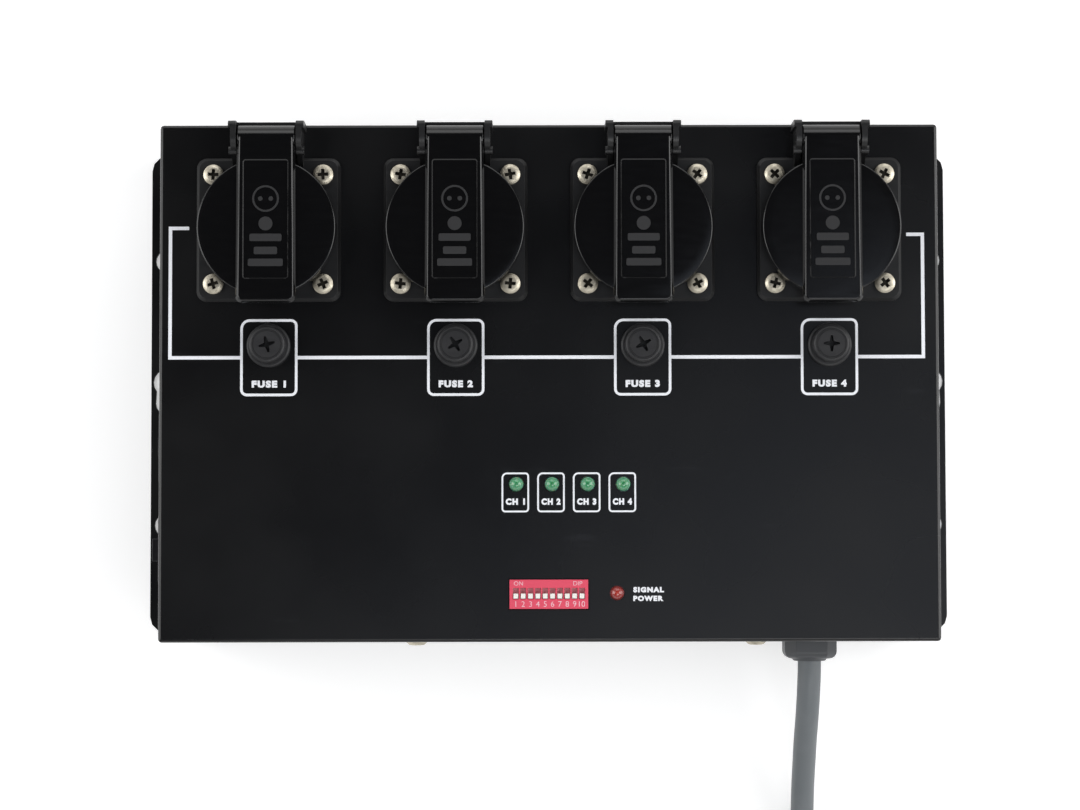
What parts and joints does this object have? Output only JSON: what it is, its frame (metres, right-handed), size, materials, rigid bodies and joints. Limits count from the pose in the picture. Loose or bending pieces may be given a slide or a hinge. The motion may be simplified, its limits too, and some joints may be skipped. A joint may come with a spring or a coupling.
{
  "type": "dmx switch pack",
  "caption": "Sheet-steel DMX switch pack with lidded earthed socket outlets, fuses, channel lamps, a DIP address switch and a mains lead.",
  "frame": {"origin": "middle of the back, on the surface that the box lies on", "axes": "+Z out of the front panel, +Y towards the socket side, +X to the right seen from the front"},
  "size_m": [0.295, 0.3878, 0.0821],
  "materials": {
    "powder_coat": "fine textured black powder coat on sheet steel",
    "socket_plastic": "black moulded polyamide",
    "fuse_plastic": "black moulded phenolic",
    "nickel": "nickel-plated steel",
    "pin_steel": "blackened drawn steel",
    "fuse_glass": "clear glass tube with nickel-plated end caps",
    "green_lamp": "green diffused epoxy",
    "red_lamp": "red diffused epoxy",
    "switch_red": "red moulded switch body",
    "switch_white": "white moulded levers",
    "laminate": "green glass-fibre laminate",
    "relay_case": "blue moulded relay case",
    "transformer_core": "varnished laminated core",
    "connector_black": "black die-cast shell",
    "latch_metal": "bright steel",
    "bushing_grey": "dark grey moulded nylon",
    "cord_sheath": "grey cord sheath",
    "plug_rubber": "black moulded rubber"
  },
  "bodies": {
    "case": {"cover": "powder_coat", "base_plate": "powder_coat", "cover_screw_1": "nickel", "cover_screw_2": "nickel", "cover_screw_3": "nickel", "cover_screw_4": "nickel", "socket_frame_1": "socket_plastic", "socket_frame_2": "socket_plastic", "socket_frame_3": "socket_plastic", "socket_frame_4": "socket_plastic", "hinge_pin_1": "pin_steel", "hinge_pin_2": "pin_steel", "hinge_pin_3": "pin_steel", "hinge_pin_4": "pin_steel", "fuse_holder_1": "fuse_plastic", "fuse_holder_2": "fuse_plastic", "fuse_holder_3": "fuse_plastic", "fuse_holder_4": "fuse_plastic", "channel_led_1": "green_lamp", "channel_led_2": "green_lamp", "channel_led_3": "green_lamp", "channel_led_4": "green_lamp", "signal_led": "red_lamp", "dip_body": "switch_red", "control_board": "laminate", "relay_board": "laminate", "relay_1": "relay_case", "relay_2": "relay_case", "relay_3": "relay_case", "relay_4": "relay_case", "transformer": "transformer_core", "dmx_input": "connector_black", "dmx_output": "connector_black", "cord_bushing": "bushing_grey", "mains_cord": "cord_sheath", "mains_cord_coil": "cord_sheath", "mains_plug": "plug_rubber"},
    "lid_1": {"socket_lid_1": "socket_plastic"},
    "lid_2": {"socket_lid_2": "socket_plastic"},
    "lid_3": {"socket_lid_3": "socket_plastic"},
    "lid_4": {"socket_lid_4": "socket_plastic"},
    "fuse_1": {"fuse_link_1": "fuse_glass"},
    "cap_1": {"fuse_cap_1": "fuse_plastic"},
    "fuse_2": {"fuse_link_2": "fuse_glass"},
    "cap_2": {"fuse_cap_2": "fuse_plastic"},
    "fuse_3": {"fuse_link_3": "fuse_glass"},
    "cap_3": {"fuse_cap_3": "fuse_plastic"},
    "fuse_4": {"fuse_link_4": "fuse_glass"},
    "cap_4": {"fuse_cap_4": "fuse_plastic"},
    "lever_1": {"dip_lever_1": "switch_white"},
    "lever_2": {"dip_lever_2": "switch_white"},
    "lever_3": {"dip_lever_3": "switch_white"},
    "lever_4": {"dip_lever_4": "switch_white"},
    "lever_5": {"dip_lever_5": "switch_white"},
    "lever_6": {"dip_lever_6": "switch_white"},
    "lever_7": {"dip_lever_7": "switch_white"},
    "lever_8": {"dip_lever_8": "switch_white"},
    "lever_9": {"dip_lever_9": "switch_white"},
    "lever_10": {"dip_lever_10": "switch_white"},
    "latch": {"dmx_latch": "latch_metal"}
  },
  "joints": [
    {"name": "lid_1_hinge", "type": "hinge", "parent": "case", "child": "lid_1", "pos_m": [-0.09735, 0.084, 0.0775], "axis": [-1, 0, 0], "range_deg": [0, 105], "stiffness_Nm_per_rad": 0.02, "springref_deg": -34.38},
    {"name": "lid_2_hinge", "type": "hinge", "parent": "case", "child": "lid_2", "pos_m": [-0.03245, 0.084, 0.0775], "axis": [-1, 0, 0], "range_deg": [0, 105], "stiffness_Nm_per_rad": 0.02, "springref_deg": -34.38},
    {"name": "lid_3_hinge", "type": "hinge", "parent": "case", "child": "lid_3", "pos_m": [0.03245, 0.084, 0.0775], "axis": [-1, 0, 0], "range_deg": [0, 105], "stiffness_Nm_per_rad": 0.02, "springref_deg": -34.38},
    {"name": "lid_4_hinge", "type": "hinge", "parent": "case", "child": "lid_4", "pos_m": [0.09735, 0.084, 0.0775], "axis": [-1, 0, 0], "range_deg": [0, 105], "stiffness_Nm_per_rad": 0.02, "springref_deg": -34.38},
    {"name": "fuse_1_pull", "type": "slide", "parent": "case", "child": "fuse_1", "axis": [0, 0, 1], "range_m": [0, 0.03]},
    {"name": "cap_1_turn", "type": "hinge", "parent": "fuse_1", "child": "cap_1", "pos_m": [-0.09735, 0.01275, 0.068], "axis": [0, 0, 1], "range_deg": [0, 90]},
    {"name": "fuse_2_pull", "type": "slide", "parent": "case", "child": "fuse_2", "axis": [0, 0, 1], "range_m": [0, 0.03]},
    {"name": "cap_2_turn", "type": "hinge", "parent": "fuse_2", "child": "cap_2", "pos_m": [-0.03245, 0.01275, 0.068], "axis": [0, 0, 1], "range_deg": [0, 90]},
    {"name": "fuse_3_pull", "type": "slide", "parent": "case", "child": "fuse_3", "axis": [0, 0, 1], "range_m": [0, 0.03]},
    {"name": "cap_3_turn", "type": "hinge", "parent": "fuse_3", "child": "cap_3", "pos_m": [0.03245, 0.01275, 0.068], "axis": [0, 0, 1], "range_deg": [0, 90]},
    {"name": "fuse_4_pull", "type": "slide", "parent": "case", "child": "fuse_4", "axis": [0, 0, 1], "range_m": [0, 0.03]},
    {"name": "cap_4_turn", "type": "hinge", "parent": "fuse_4", "child": "cap_4", "pos_m": [0.09735, 0.01275, 0.068], "axis": [0, 0, 1], "range_deg": [0, 90]},
    {"name": "lever_1_slide", "type": "slide", "parent": "case", "child": "lever_1", "axis": [0, 1, 0], "range_m": [0, 0.0017]},
    {"name": "lever_2_slide", "type": "slide", "parent": "case", "child": "lever_2", "axis": [0, 1, 0], "range_m": [0, 0.0017]},
    {"name": "lever_3_slide", "type": "slide", "parent": "case", "child": "lever_3", "axis": [0, 1, 0], "range_m": [0, 0.0017]},
    {"name": "lever_4_slide", "type": "slide", "parent": "case", "child": "lever_4", "axis": [0, 1, 0], "range_m": [0, 0.0017]},
    {"name": "lever_5_slide", "type": "slide", "parent": "case", "child": "lever_5", "axis": [0, 1, 0], "range_m": [0, 0.0017]},
    {"name": "lever_6_slide", "type": "slide", "parent": "case", "child": "lever_6", "axis": [0, 1, 0], "range_m": [0, 0.0017]},
    {"name": "lever_7_slide", "type": "slide", "parent": "case", "child": "lever_7", "axis": [0, 1, 0], "range_m": [0, 0.0017]},
    {"name": "lever_8_slide", "type": "slide", "parent": "case", "child": "lever_8", "axis": [0, 1, 0], "range_m": [0, 0.0017]},
    {"name": "lever_9_slide", "type": "slide", "parent": "case", "child": "lever_9", "axis": [0, 1, 0], "range_m": [0, 0.0017]},
    {"name": "lever_10_slide", "type": "slide", "parent": "case", "child": "lever_10", "axis": [0, 1, 0], "range_m": [0, 0.0017]},
    {"name": "latch_press", "type": "slide", "parent": "case", "child": "latch", "axis": [1, 0, 0], "range_m": [0, 0.0018], "stiffness_N_per_m": 500, "springref_m": -0.001}
  ]
}
